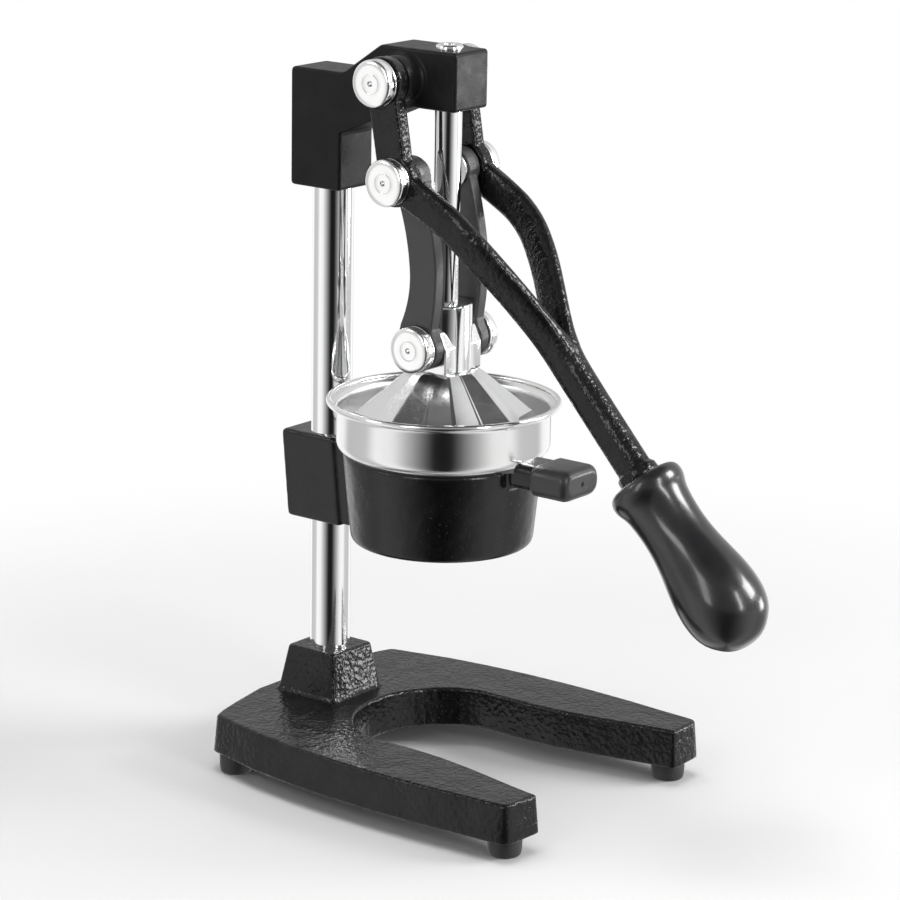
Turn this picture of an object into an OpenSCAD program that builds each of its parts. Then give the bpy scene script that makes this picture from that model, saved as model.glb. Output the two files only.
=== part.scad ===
// Hand lever citrus press: horseshoe base, chrome post, cast head with a
// sliding centre rod, forked lever, bowed links, fluted press cone and a
// stainless bowl held by a cast bracket. Units mm, +Z up, the front is -Y.

/* [Base] */
// Height of the cast horseshoe slab without its feet
base_h = 21.7; // [19:0.1:24]
// Height of the rubber feet below the slab
foot_h = 11.1; // [9:0.1:13]
// Diameter of a rubber foot
foot_d = 19; // [16:0.5:20]
// Height of the pedestal that holds the post
ped_h = 26.7; // [22:0.1:32]

/* [Post] */
// Diameter of the rear post
post_d = 23; // [20:0.5:24]
// Distance of the post axis behind the bowl axis
post_y = 80; // [79:0.5:82]

/* [Head] */
// Width of the head casting
head_w = 29; // [26:0.5:29]
// Height of the top of the nose above the floor
head_top = 411.5; // [409:0.5:413]
// Height of the front face of the nose
nose_h = 32; // [29:0.5:33]
// Diameter of the round bosses that carry the upper pivots
boss_d = 26; // [22:0.5:26]

/* [Rod and carriage] */
// Diameter of the sliding centre rod
rod_d = 15; // [13:0.5:15]
// Outside diameter of the hub the rod stands in
hub_d = 30; // [28:0.5:31]

/* [Pivots] */
// Diameter of the large round bolt heads
cap_d = 25.6; // [23:0.2:26]
// Thickness of the large round bolt heads
cap_t = 7.8; // [6.5:0.1:7.8]

/* [Lever] */
// Depth of the lever arm seen from the side
arm_t = 19; // [17:0.5:20]
// Width of one fork arm seen from the front
arm_w = 9.5; // [8.5:0.5:9.5]

/* [Links] */
// Thickness of a link plate
link_t = 7.5; // [6:0.5:7.5]
// Width of a link halfway along
link_w = 18.4; // [16:0.2:20]
// How far a link bows forward of the line between its eyes
link_bow = 6.8; // [4:0.2:8]

/* [Bowl and bracket] */
// Outside diameter of the rolled bowl rim
rim_d = 130; // [129:0.5:131]
// Outside diameter of the straight bowl wall
bowl_d = 118.6; // [117:0.2:119.6]
// Sheet thickness of the bowl and strainer
sheet = 1.2; // [1:0.1:1.4]
// Upper outside diameter of the bracket ring
ring_d = 110.8; // [109:0.2:112]

/* [Press cone] */
// Diameter over the ridges at the foot of the cone
cone_d = 100; // [96:1:104]
// Number of pleats round the cone
pleats = 8; // [6:1:12]

/* [Grip] */
// Length of the grip
grip_l = 104; // [96:1:112]
// Largest diameter of the grip
bulb_d = 46.5; // [43:0.5:48]
// Diameter of the grip at its neck
neck_d = 35; // [32:0.5:37]

/* [Hidden] */
y0 = 50.03;                 // shifts the bowl axis so the box is centred
slab_z = foot_h + base_h;  // top of the horseshoe slab
ped_z = slab_z + ped_h;    // top of the pedestal
p1 = [19, 395.1];          // upper pivot, lever on head (y, z)
p2 = [9.6, 342.6];         // middle pivot, lever on links
p4 = [0, 250.2];           // lower pivot, links on carriage
arm_x = 27;                // inner face of a fork arm
arm_xo = arm_x + arm_w;    // outer face of a fork arm
link_x = 16.5;             // inner face of a link plate
link_xo = link_x + link_t; // outer face of a link plate
lug_x = 16.1;              // outer face of a carriage lug
cone_top = 235;            // top of the press cone
cone_foot = 210.4;         // foot of the press cone
ring_top = 187.8;          // top of the bracket ring
ring_low = 137.6;          // underside of the bracket
slope = 47;                // shank and grip, degrees below level
grip_at = [-133.5, 195];   // top of the grip on its axis
gdir = [-cos(slope), -sin(slope)];
feet = [[77, -105], [-77, -105], [73, 87.5], [-73, 87.5]];
$fn = 72;

black = [0.05, 0.05, 0.055];
steel = [0.78, 0.79, 0.8];
chrome = [0.86, 0.87, 0.88];
rubber = [0.03, 0.03, 0.03];

// every node sits in the shared frame through this shift
module at() { translate([0, y0, 0]) children(); }
// a (y, z) outline made into a plate from x = a to x = b
module yz(a, b) { translate([a, 0, 0]) rotate([90, 0, 90]) linear_extrude(height = b - a) children(); }
// a cylinder along X from x = a to x = b round the point q = (y, z)
module xcyl(q, r, a, b, fn = 72) { translate([a, q[0], q[1]]) rotate([0, 90, 0]) cylinder(h = b - a, r = r, $fn = fn); }
// runs the child for the right side (+X), or mirrored for the left
module side(s) { if (s > 0) children(); else mirror([1, 0, 0]) children(); }

// ---- base ------------------------------------------------------------
outer_half = [[28, 111.8], [54, 106.4], [74, 101.6], [79, 99.6], [81.2, 95.5],
  [86, 77], [90, 60], [93.6, 34], [95.8, 8], [96.6, -20], [96.5, -40],
  [95.4, -66], [93.4, -92], [92.2, -110], [90.6, -114.6], [86.4, -117.4],
  [64, -118.4]];
function mirrored(h) = concat(h, [for (i = [len(h) - 1:-1:0]) [-h[i][0], h[i][1]]]);
mouth_half = [for (a = [82:-8:10]) [49.5 * cos(a), 44 * sin(a)]];
leg_half = [[48.8, -6], [48.6, -24], [49.8, -44], [52.6, -62], [56.2, -80],
  [60, -98], [63.4, -124]];

module base_casting() {
  color(black) at() difference() {
    union() {
      difference() {
        union() {
          translate([0, 0, foot_h]) linear_extrude(height = base_h - 1.8, scale = 0.978) polygon(mirrored(outer_half));
          translate([0, 0, slab_z - 1.8]) linear_extrude(height = 1.8, scale = 0.98) scale(0.978) polygon(mirrored(outer_half));
        }
        translate([0, 0, foot_h - 1]) linear_extrude(height = base_h + 2, scale = 1.05) polygon(mirrored(concat(mouth_half, leg_half)));
      }
      translate([0, post_y, slab_z - 2]) linear_extrude(height = ped_h + 2, scale = [0.81, 0.795]) square([42.8, 42.4], center = true);
    }
    translate([0, post_y, foot_h + 15]) cylinder(h = 80, r = post_d / 2 + 0.05);
    translate([0, post_y, foot_h - 1]) cylinder(h = 30, r = 6.4);
    translate([0, post_y, foot_h - 1]) cylinder(h = 9.9, r = 13);
    for (f = feet) translate([f[0], f[1], foot_h - 1]) cylinder(h = 13, r = 2.4, $fn = 32);
  }
}
module rubber_feet() {
  color(rubber) at() for (f = feet) translate([f[0], f[1], 0]) difference() {
    rotate_extrude() polygon([[0, 0], [foot_d / 2 - 1.4, 0], [foot_d / 2 - 0.6, 0.8], [foot_d / 2, foot_h - 0.8], [foot_d / 2 - 0.5, foot_h], [0, foot_h]]);
    translate([0, 0, -1]) cylinder(h = 5.2, r = 5);
    cylinder(h = 30, r = 2.5, $fn = 32);
  }
}
module foot_screws() {
  color(steel) at() for (f = feet) translate([f[0], f[1], 0]) difference() {
    rotate_extrude() polygon([[0, 1.6], [3, 1.6], [4.4, 2.6], [4.4, 4.2], [2.35, 4.2], [2.35, foot_h + 10], [0, foot_h + 10]]);
    for (a = [0, 90]) translate([0, 0, 1.8]) rotate(a) cube([3.6, 0.8, 2], center = true);
  }
}

// ---- post ------------------------------------------------------------
module main_post() {
  color(chrome) at() translate([0, post_y, 0]) difference() {
    rotate_extrude() polygon([[0, foot_h + 15.2], [post_d / 2 - 1, foot_h + 15.2], [post_d / 2, foot_h + 16.2], [post_d / 2, 382], [post_d / 2 - 1, 383], [0, 383]]);
    translate([0, 0, foot_h]) cylinder(h = 46, r = 6.05);
  }
}
module post_base_bolt() {
  color(steel) at() translate([0, post_y, 0]) {
    translate([0, 0, foot_h + 0.6]) cylinder(h = 6.4, r = 10.9, $fn = 6);
    translate([0, 0, foot_h + 5]) cylinder(h = 36, r = 6);
  }
}
module post_base_washer() {
  color(steel) at() translate([0, post_y, foot_h + 7.1]) difference() {
    cylinder(h = 1.7, r = 12.2);
    translate([0, 0, -1]) cylinder(h = 4, r = 6.3);
  }
}

// ---- head ------------------------------------------------------------
module head_casting() {
  zt = head_top; zb = head_top - nose_h;
  color(black) at() difference() {
    union() {
      yz(-head_w / 2, head_w / 2) polygon([[99.2, 328.4], [98, 327.2], [65.2, 327.2], [64, 328.4], [64, 359.5],
        [18, zb], [-14.4, zb], [-15.4, zb + 1], [-15.4, zt - 1.2], [-14.2, zt], [36, zt],
        [62.5, 393.4], [98, 393.4], [99.2, 392.2]]);
      xcyl(p1, boss_d / 2, -26.6, 26.6);
    }
    translate([0, 0, 300]) cylinder(h = 200, r = rod_d / 2 + 0.05);
    translate([0, post_y, 300]) cylinder(h = 83.5, r = post_d / 2 + 0.05);
    for (s = [-1, 1]) side(s) xcyl(p1, 5.05, 9, 40);
    translate([0, 110, 350]) rotate([90, 0, 0]) cylinder(h = 24, r = 4);
  }
}
// a hexagon socket set screw pointing forward from y = a
module set_screw(z, r, a, b) {
  translate([0, a, z]) rotate([90, 0, 0]) difference() {
    rotate_extrude() polygon([[0, 0], [r - 0.6, 0], [r, 0.6], [r, a - b - 1], [r - 1, a - b], [0, a - b]]);
    translate([0, 0, -1]) cylinder(h = 4, r = r * 0.55, $fn = 6);
  }
}
module head_set_screw() { color(steel) at() set_screw(350, 3.95, 98.6, post_y + post_d / 2 + 0.05); }

// a big round bolt head whose outer face is at x = xo, with a groove and a
// small centre mark, and a shank of radius r reaching in to x = xi
module pivot_bolt(q, xo, xi, r, hr) {
  t = cap_t; L = xo - xi;
  translate([xo, q[0], q[1]]) rotate([0, -90, 0]) rotate_extrude() polygon([[0, 1.8], [1.3, 1.6], [1.5, 0],
    [hr * 0.6, 0], [hr * 0.62, 0.5], [hr * 0.7, 0.5], [hr * 0.72, 0], [hr - 1.4, 0], [hr - 0.4, 0.5], [hr, 1.5],
    [hr, t - 0.6], [hr - 0.6, t], [r, t], [r, L - 0.8], [r - 0.8, L], [0, L]]);
}
module washer_x(q, ro, ri, a, b) { difference() { xcyl(q, ro, a, b); xcyl(q, ri, a - 1, b + 1); } }

up_face = arm_xo + 0.1; // inner face of an upper bolt head
module upper_bolt(s) {
  color(chrome) at() side(s) union() {
    pivot_bolt(p1, up_face + cap_t, 10, 5, cap_d / 2);
    washer_x(p1, 6.5, 4.5, 26.6, up_face + 0.5);
  }
}
module upper_pivot_bolt_left() { upper_bolt(-1); }
module upper_pivot_bolt_right() { upper_bolt(1); }
module upper_pivot_washers() { color(steel) at() for (s = [-1, 1]) side(s) washer_x(p1, 11.5, 6.6, up_face - 0.8, up_face); }

// ---- bracket, bowl, strainer -------------------------------------------
module stub_section(w, h) {
  r = h / 2 - 0.6;
  square([w - 2 * r, h], center = true);
  square([w, h - 2 * r], center = true);
  for (i = [-1, 1]) for (j = [-1, 1]) translate([i * (w / 2 - r), j * (h / 2 - r)]) circle(r = r, $fn = 40);
}
module bowl_bracket() {
  rt = ring_d / 2; rb = ring_d / 2 - 4.7;
  color(black) at() difference() {
    union() {
      rotate_extrude($fn = 120) polygon([[30, ring_low], [rb - 0.8, ring_low], [rb, ring_low + 1], [rt, ring_top - 1], [rt - 1, ring_top], [30, ring_top]]);
      yz(-16, 16) polygon([[60.5, 136], [98.6, 136], [99.6, 137], [104.1, 185.4], [103, 186.5], [71, 186.5]]);
      yz(-10.5, 10.5) polygon([[40, 137], [70, 137], [75, 186.2], [40, 186.2]]);
      translate([0, -45, 186]) rotate([90, 0, 0]) linear_extrude(height = 26) stub_section(26, 15);
    }
    translate([0, 0, 130]) cylinder(h = 40.1, r1 = 45.4, r2 = 45.4, $fn = 120);
    translate([0, 0, 162]) cylinder(h = 40, r = 50, $fn = 120);
    translate([0, 0, ring_top + 0.05]) cylinder(h = 20, r = bowl_d / 2 + 0.3, $fn = 120);
    translate([0, post_y, 100]) cylinder(h = 120, r = post_d / 2 + 0.05);
    translate([0, 110, 161]) rotate([90, 0, 0]) cylinder(h = 24, r = 4);
    translate([0, -40, 186]) rotate([90, 0, 0]) cylinder(h = 60, r = 2.6, $fn = 32);
  }
}
module bracket_set_screw() { color(steel) at() set_screw(161, 3.95, 101, post_y + post_d / 2 + 0.05); }
module bracket_knob() {
  color(black) at() difference() {
    union() {
      translate([0, -71.1, 186]) rotate([90, 0, 0]) linear_extrude(height = 22.4) stub_section(33, 17.4);
      translate([0, -93.4, 186]) rotate([90, 0, 0]) linear_extrude(height = 1.6) stub_section(30.6, 15);
    }
    translate([0, -60, 186]) rotate([90, 0, 0]) cylinder(h = 29.2, r = 2.1, $fn = 32);
    translate([0, -80, 186]) rotate([90, 0, 0]) cylinder(h = 30, r = 1.4, $fn = 32);
  }
}
module bracket_knob_screw() {
  color(steel) at() translate([0, 0, 186]) rotate([90, 0, 0]) difference() {
    rotate_extrude($fn = 32) polygon([[0, 56], [1.4, 56], [2, 56.6], [2, 88.5], [1.6, 89], [0, 89]]);
    translate([0, 0, 86.4]) cylinder(h = 4, r = 1.1, $fn = 6);
  }
}
module juice_bowl() {
  R = bowl_d / 2; r = R - sheet; b = 1.7; B = rim_d / 2 - b;
  color(steel) at() union() {
    rotate_extrude($fn = 144) translate([B, 216.8]) circle(r = b, $fn = 32);
    rotate_extrude($fn = 144) polygon([[B - 1, 217.2], [B - 1, 215.8], [R, 213.4], [R, 193.4], [R - 1.2, 190.6], [R - 3.6, 188.6], [49.6, 187.9],
      [49.6, 172], [11, 152.4], [10, 150.6], [10, 139.6], [8.8, 139.6], [8.8, 151.2], [10, 153.2],
      [49.6 - sheet, 172.8], [49.6 - sheet, 189.2], [R - 4.2, 190.2], [R - 2.2, 191.4], [r, 193.6], [r, 214]]);
  }
}
module strainer_cone() {
  color(steel) at() difference() {
    rotate_extrude($fn = 96) polygon([[0, 219.4], [2.4, 219], [5, 217.4], [12, 211.6], [22, 203.6], [32, 196.4],
      [36, 194.2], [52, 191.8], [52, 190.4], [35.4, 192.8], [31, 195], [21, 202], [11, 210], [4.6, 215.6], [0, 217]]);
    for (k = [0:11]) rotate(k * 30) translate([27, 0, 198]) cube([13, 2.2, 30], center = true);
    for (k = [0:23]) rotate(k * 15 + 7.5) translate([42, 0, 192]) cube([8, 1.8, 12], center = true);
  }
}

// ---- carriage ----------------------------------------------------------
module press_carriage() {
  color(steel) at() difference() {
    union() {
      translate([0, 0, cone_top]) rotate_extrude() polygon([[0, 0], [hub_d / 2, 0], [hub_d / 2, 36.4], [hub_d / 2 - 1.2, 37.6], [0, 37.6]]);
      for (s = [-1, 1]) side(s) {
        yz(7, lug_x) polygon([[-13, cone_top], [-13, 250], [-9, 258.4], [-3.6, 262.6], [3.6, 262.6], [9, 258.4], [13, 250], [13, cone_top]]);
      }
    }
    translate([0, 0, cone_top + 8]) cylinder(h = 60, r = rod_d / 2 + 0.02);
    translate([0, 0, cone_top - 5]) cylinder(h = 60, r = 5.05, $fn = 48);
    for (s = [-1, 1]) side(s) xcyl(p4, 4.05, rod_d / 2 + 1.4, 30, 48);
  }
}
module guide_rod() {
  color(chrome) at() difference() {
    rotate_extrude() polygon([[0, 225], [4.4, 225], [5, 225.6], [5, cone_top + 8.2], [rod_d / 2 - 0.5, cone_top + 8.2],
      [rod_d / 2, cone_top + 8.8], [rod_d / 2, head_top + 1.7], [rod_d / 2 - 0.8, head_top + 2.5], [0, head_top + 2.5]]);
    translate([0, 0, head_top - 2]) cylinder(h = 20, r = 3.4, $fn = 48);
  }
}
function star(n, ro, ri) = [for (i = [0:2 * n - 1]) let (r = i % 2 == 0 ? ro : ri, a = i * 180 / n) [r * cos(a), r * sin(a)]];
module press_cone() {
  h = cone_top - cone_foot; k = 20 / (cone_d / 2);
  color(steel) at() difference() {
    translate([0, 0, cone_foot]) linear_extrude(height = h, scale = k) polygon(star(pleats, cone_d / 2, cone_d / 2 * 0.86));
    translate([0, 0, cone_foot - 0.1]) cylinder(h = h - 2.9, r1 = cone_d / 2 * 0.86 - 3.4, r2 = 13);
    translate([0, 0, cone_foot]) cylinder(h = 60, r = 5.05, $fn = 48);
  }
}
module cone_nut() {
  color(steel) at() translate([0, 0, cone_top - 9.2]) difference() {
    cylinder(h = 6.1, r = 9.2, $fn = 6);
    translate([0, 0, -1]) cylinder(h = 10, r = 5.05, $fn = 48);
  }
}
low_face = link_xo + 1; // inner face of a lower bolt head
module lower_bolt(s) {
  color(chrome) at() side(s) union() {
    pivot_bolt(p4, low_face + cap_t, rod_d / 2 + 1.8, 4, cap_d / 2);
    washer_x(p4, 5, 3.5, lug_x, low_face + 0.5);
  }
}
module lower_pivot_bolt_left() { lower_bolt(-1); }
module lower_pivot_bolt_right() { lower_bolt(1); }
module lower_pivot_washers() { color(steel) at() for (s = [-1, 1]) side(s) washer_x(p4, 11, 5.1, low_face - 0.6, low_face); }

// ---- links -------------------------------------------------------------
ldir = (p2 - p4) / norm(p2 - p4);
lnor = [ldir[1], -ldir[0]];
// a point on the link, t along it from the lower eye and w across it
function lp(t, w) = p4 + ldir * (t * norm(p2 - p4)) + lnor * w;
function bowed(t) = -link_bow * 4 * t * (1 - t);
function flare(t) = max(0, 1 - t / 0.46);
function link_hi(t) = min(12.3, bowed(t) + link_w / 2 + 11.2 * pow(flare(t), 2) + 1.4 * pow(max(0, 2 * t - 1), 2));
function link_lo(t) = bowed(t) - link_w / 2 + 2.6 * flare(t) - 1.4 * pow(max(0, 2 * t - 1), 2);
module press_link(s) {
  color(black) at() side(s) difference() {
    union() {
      yz(link_x, link_xo) polygon(concat(
        [for (t = [0:0.05:1]) lp(t, link_hi(t))],
        [for (t = [1:-0.05:0]) lp(t, link_lo(t))]));
      xcyl(p4, 12.6, link_x, link_xo);
      xcyl(p2, 12, link_x, 26.5);
    }
    xcyl(p4, 5.05, 10, 40);
    xcyl(p2, 5.05, 10, 40);
  }
}
module press_link_left() { press_link(-1); }
module press_link_right() { press_link(1); }
module link_pin(s) {
  color(steel) at() side(s) union() {
    xcyl(p2, 5, 15, 26.4);
    xcyl(p2, 10.6, 15, link_x - 0.1);
  }
}
module link_pin_left() { link_pin(-1); }
module link_pin_right() { link_pin(1); }

// ---- lever -------------------------------------------------------------
spine = [p2, [-2.6, 336.1], [-15.1, 329.3], [-28, 321.3], [-39.8, 310.3], [-51.3, 296.5], [-60.4, 283.9], [-68.8, 271.6],
  [-77.8, 258.6], [-89.5, 243.8], grip_at - 3 * gdir];
function dirs(p, i) = let (a = p[max(i - 1, 0)], b = p[min(i + 1, len(p) - 1)]) (b - a) / norm(b - a);
function band(p, h) = concat(
  [for (i = [0:len(p) - 1]) let (d = dirs(p, i)) p[i] + h * [d[1], -d[0]]],
  [for (i = [len(p) - 1:-1:0]) let (d = dirs(p, i)) p[i] - h * [d[1], -d[0]]]);
module handle_fork() {
  o = arm_xo; n = arm_x;
  color(black) at() difference() {
    union() {
      intersection() {
        union() {
          yz(-40, 40) polygon(band(spine, arm_t / 2));
          yz(-40, 40) polygon(band([p1, p2], 10.2));
          xcyl(p1, 13.6, -40, 40);
          xcyl(p2, 14.2, -40, 40);
        }
        translate([0, 150, 0]) rotate([90, 0, 0]) linear_extrude(height = 400) polygon([
          [o, 420], [o, 326], [33.6, 312], [27, 297.6], [20.6, 285.6], [14.5, 273.6], [9.8, 262], [8, 248], [8, 180],
          [-8, 180], [-8, 248], [-9.8, 262], [-14.5, 273.6], [-20.6, 285.6], [-27, 297.6], [-33.6, 312], [-o, 326], [-o, 420],
          [-n, 420], [-n, 328], [-24.4, 314], [-17.4, 299.4], [-11.4, 287.4], [-5.4, 275.6], [-2, 269.6],
          [2, 269.6], [5.4, 275.6], [11.4, 287.4], [17.4, 299.4], [24.4, 314], [n, 328], [n, 420]]);
      }
      translate([0, grip_at[0], grip_at[1]]) rotate([90 + slope, 0, 0]) {
        translate([0, 0, -6.4]) cylinder(h = 6.2, r = 11.6);
        translate([0, 0, -1]) cylinder(h = 62, r = 6);
      }
    }
    for (s = [-1, 1]) side(s) {
      xcyl(p1, 6.55, 20, 44);
      xcyl(p1, 14.5, arm_xo - 1, 44);
      xcyl(p2, 6.05, 20, 44);
    }
  }
}
module middle_bolt(s) { color(chrome) at() side(s) pivot_bolt(p2, arm_xo + 0.1 + cap_t, arm_x + 0.1, 6, cap_d / 2); }
module middle_pivot_bolt_left() { middle_bolt(-1); }
module middle_pivot_bolt_right() { middle_bolt(1); }
module handle_grip() {
  n = neck_d / 2; b = bulb_d / 2; L = grip_l;
  color(black) at() translate([0, grip_at[0], grip_at[1]]) rotate([90 + slope, 0, 0]) difference() {
    rotate_extrude($fn = 96) polygon([[0, 0], [17.6, 0], [19.8, 1.4], [20.9, 4], [21, 7], [20.4, 10], [n + 1.6, 14.6],
      [n + 0.4, 20], [n, 28], [n + 0.3, 36], [n + 1.4, 45], [(n + b) / 2 + 0.6, 54], [b - 0.9, 64], [b, 74], [b - 0.3, 80],
      [b - 2.3, L * 0.86], [b - 6.3, L * 0.93], [b - 11.5, L * 0.975], [b - 17, L * 0.995], [0, L]]);
    translate([0, 0, -1]) cylinder(h = 63.2, r = 6.05);
  }
}

base_casting();
rubber_feet();
foot_screws();
main_post();
post_base_bolt();
post_base_washer();
head_casting();
head_set_screw();
upper_pivot_bolt_left();
upper_pivot_bolt_right();
upper_pivot_washers();
bowl_bracket();
bracket_set_screw();
bracket_knob();
bracket_knob_screw();
juice_bowl();
strainer_cone();
press_carriage();
guide_rod();
press_cone();
cone_nut();
lower_pivot_bolt_left();
lower_pivot_bolt_right();
lower_pivot_washers();
press_link_left();
press_link_right();
link_pin_left();
link_pin_right();
handle_fork();
middle_pivot_bolt_left();
middle_pivot_bolt_right();
handle_grip();
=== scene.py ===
import bpy, bmesh, math
from mathutils import Vector, Matrix
from mathutils.geometry import tessellate_polygon


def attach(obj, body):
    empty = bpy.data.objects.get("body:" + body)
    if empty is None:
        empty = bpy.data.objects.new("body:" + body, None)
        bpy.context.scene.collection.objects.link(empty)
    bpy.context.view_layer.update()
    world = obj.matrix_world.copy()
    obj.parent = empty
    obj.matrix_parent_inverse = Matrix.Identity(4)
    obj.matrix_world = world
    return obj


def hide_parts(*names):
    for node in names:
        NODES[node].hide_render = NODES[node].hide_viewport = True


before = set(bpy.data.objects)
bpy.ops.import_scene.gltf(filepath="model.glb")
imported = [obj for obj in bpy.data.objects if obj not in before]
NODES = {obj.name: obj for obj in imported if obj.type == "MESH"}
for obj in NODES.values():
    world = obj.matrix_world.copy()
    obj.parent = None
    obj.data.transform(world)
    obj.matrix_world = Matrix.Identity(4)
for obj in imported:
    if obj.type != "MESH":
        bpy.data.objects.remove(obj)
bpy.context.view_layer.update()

SC = bpy.context.scene
Y0 = 0.05003          # bowl axis in the row frame
mm = 0.001


def dp(x, y, z):
    """design millimetres (bowl axis at 0, 0) to the row frame"""
    return Vector((x * mm, y * mm + Y0, z * mm))


# ---------------------------------------------------------------- camera
def make_camera():
    a, e, r = math.radians(-52.55), math.radians(14.88), math.radians(0.98)
    back = Vector((math.sin(a) * math.cos(e), -math.cos(a) * math.cos(e), math.sin(e)))
    right = Vector((math.cos(a), math.sin(a), 0))
    up = back.cross(right).normalized()
    R = right * math.cos(r) + up * math.sin(r)
    U = up * math.cos(r) - right * math.sin(r)
    cam = bpy.data.objects.new("camera", bpy.data.cameras.new("camera"))
    SC.collection.objects.link(cam)
    pos = Vector((-1.46035, -1.12342 + Y0, 0.67803))
    cam.matrix_world = Matrix(((R.x, U.x, back.x, pos.x), (R.y, U.y, back.y, pos.y), (R.z, U.z, back.z, pos.z), (0, 0, 0, 1)))
    cam.data.sensor_width = 36
    cam.data.lens = 3445.5 / 900 * 36
    cam.data.clip_start, cam.data.clip_end = 0.05, 60
    SC.camera = cam
    return back


CAM_BACK = make_camera()


# ---------------------------------------------------------------- mesh kit
def fillet(pts, r, n=4, closed=True):
    """rounds a polyline's corners; r is one radius or one for each point, and a big r makes a smooth curve"""
    P = [Vector(p) for p in pts]
    out, N = [], len(P)
    for i in range(N):
        ri = r[i] if isinstance(r, (list, tuple)) else r
        if ri <= 0 or (not closed and i in (0, N - 1)):
            out.append(P[i].copy())
            continue
        a, p, b = P[i - 1], P[i], P[(i + 1) % N]
        va, vb = a - p, b - p
        la, lb = va.length, vb.length
        ang = va.angle(vb) if la > 1e-9 and lb > 1e-9 else math.pi
        if ang > math.radians(179.5):
            out.append(p.copy())
            continue
        t = min(ri / math.tan(ang / 2), la * 0.5, lb * 0.5)
        q0, q2 = p + va / la * t, p + vb / lb * t
        for k in range(n + 1):
            u = k / n
            out.append(q0 * (1 - u) ** 2 + p * 2 * u * (1 - u) + q2 * u * u)
    clean = [out[0]]
    for q in out[1:]:
        if (q - clean[-1]).length > 1e-5:
            clean.append(q)
    if closed and (clean[0] - clean[-1]).length < 1e-5:
        clean.pop()
    return clean


def lathe(profile, segs=96, m=None, ring=False):
    """profile of (r, z) in millimetres turned about z, then moved by m (row frame)"""
    bm = bmesh.new()
    rows = []
    for r, z in profile:
        if abs(r) < 1e-6:
            rows.append([bm.verts.new((0, 0, z * mm))])
        else:
            rows.append([bm.verts.new((r * mm * math.cos(2 * math.pi * k / segs), r * mm * math.sin(2 * math.pi * k / segs), z * mm)) for k in range(segs)])
    n = len(rows)
    for i in range(n if ring else n - 1):
        A, B = rows[i], rows[(i + 1) % n]
        for k in range(segs):
            k2 = (k + 1) % segs
            if len(A) == 1 and len(B) == 1:
                continue
            if len(A) == 1:
                bm.faces.new((A[0], B[k], B[k2]))
            elif len(B) == 1:
                bm.faces.new((A[k], B[0], A[k2]))
            else:
                bm.faces.new((A[k], B[k], B[k2], A[k2]))
    bmesh.ops.recalc_face_normals(bm, faces=bm.faces)
    if m is not None:
        bmesh.ops.transform(bm, matrix=m, verts=bm.verts)
    return bm


def loft(loops, cap=True, closed=False):
    """closed loops of points (row frame), one after another"""
    bm = bmesh.new()
    rows = [[bm.verts.new(p) for p in L] for L in loops]
    n = len(rows[0])
    for i in range(len(rows) if closed else len(rows) - 1):
        A, B = rows[i], rows[(i + 1) % len(rows)]
        for k in range(n):
            bm.faces.new((A[k], A[(k + 1) % n], B[(k + 1) % n], B[k]))
    if cap and not closed:
        for row in (rows[0], rows[-1]):
            for tri in tessellate_polygon([[v.co for v in row]]):
                bm.faces.new([row[i] for i in tri])
    bmesh.ops.recalc_face_normals(bm, faces=bm.faces)
    return bm


def inset(poly, d):
    """a closed 2D outline (counter-clockwise) moved inwards by d"""
    n, out = len(poly), []
    for i in range(n):
        a, p, b = poly[i - 1], poly[i], poly[(i + 1) % n]
        e1, e2 = (p - a), (b - p)
        if e1.length < 1e-9 or e2.length < 1e-9:
            out.append(p.copy())
            continue
        e1.normalize(); e2.normalize()
        n1, n2 = Vector((-e1.y, e1.x)), Vector((-e2.y, e2.x))
        m = n1 + n2
        m = m / max(m.length_squared / 2, 0.6)
        out.append(p + m * d)
    return out


def area2(poly):
    return sum(poly[i - 1].x * poly[i].y - poly[i].x * poly[i - 1].y for i in range(len(poly))) / 2


def edge_steps(r, n):
    """(inset, drop) pairs of a rounded edge, from the side wall to the flat"""
    return [(r * (1 - math.cos(t)), r * (1 - math.sin(t))) for t in [k * math.pi / 2 / n for k in range(n + 1)]]


def plate(outline, lo, hi, r=1.2, n=4, axis="x"):
    """a plate with rounded edges: outline (u, v) in mm, from lo to hi along the axis.
    axis x: (u, v) = (y, z). axis y: (u, v) = (x, z). axis z: (u, v) = (x, y)"""
    P = [Vector((p[0], p[1])) for p in outline]
    if area2(P) < 0:
        P.reverse()
    put = {"x": lambda p, t: dp(t, p.x, p.y), "y": lambda p, t: dp(p.x, t, p.y), "z": lambda p, t: dp(p.x, p.y, t)}[axis]
    loops = []
    st = [(0, r + 0.25)] + edge_steps(r, n) + [(r + 0.25, 0)]
    for i, d in reversed(st):
        loops.append([put(p, lo + d) for p in inset(P, i)])
    for i, d in st:
        loops.append([put(p, hi - d) for p in inset(P, i)])
    return loft(loops)


def sweep(path, a, b, ex=2.6, segs=28, hint=(1, 0, 0)):
    """a superellipse section of half sizes a (along hint) and b swept along path (row frame), mm"""
    n = len(path)
    loops = []
    for i in range(n):
        T = (path[min(i + 1, n - 1)] - path[max(i - 1, 0)]).normalized()
        S = Vector(hint)
        S = (S - T * S.dot(T)).normalized()
        N = T.cross(S)
        ai = (a[i] if isinstance(a, list) else a) * mm
        bi = (b[i] if isinstance(b, list) else b) * mm
        e = ex[i] if isinstance(ex, list) else ex
        L = []
        for k in range(segs):
            t = 2 * math.pi * k / segs
            c, s = math.cos(t), math.sin(t)
            L.append(path[i] + S * ai * math.copysign(abs(c) ** (2 / e), c) + N * bi * math.copysign(abs(s) ** (2 / e), s))
        loops.append(L)
    return loft(loops)


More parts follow.
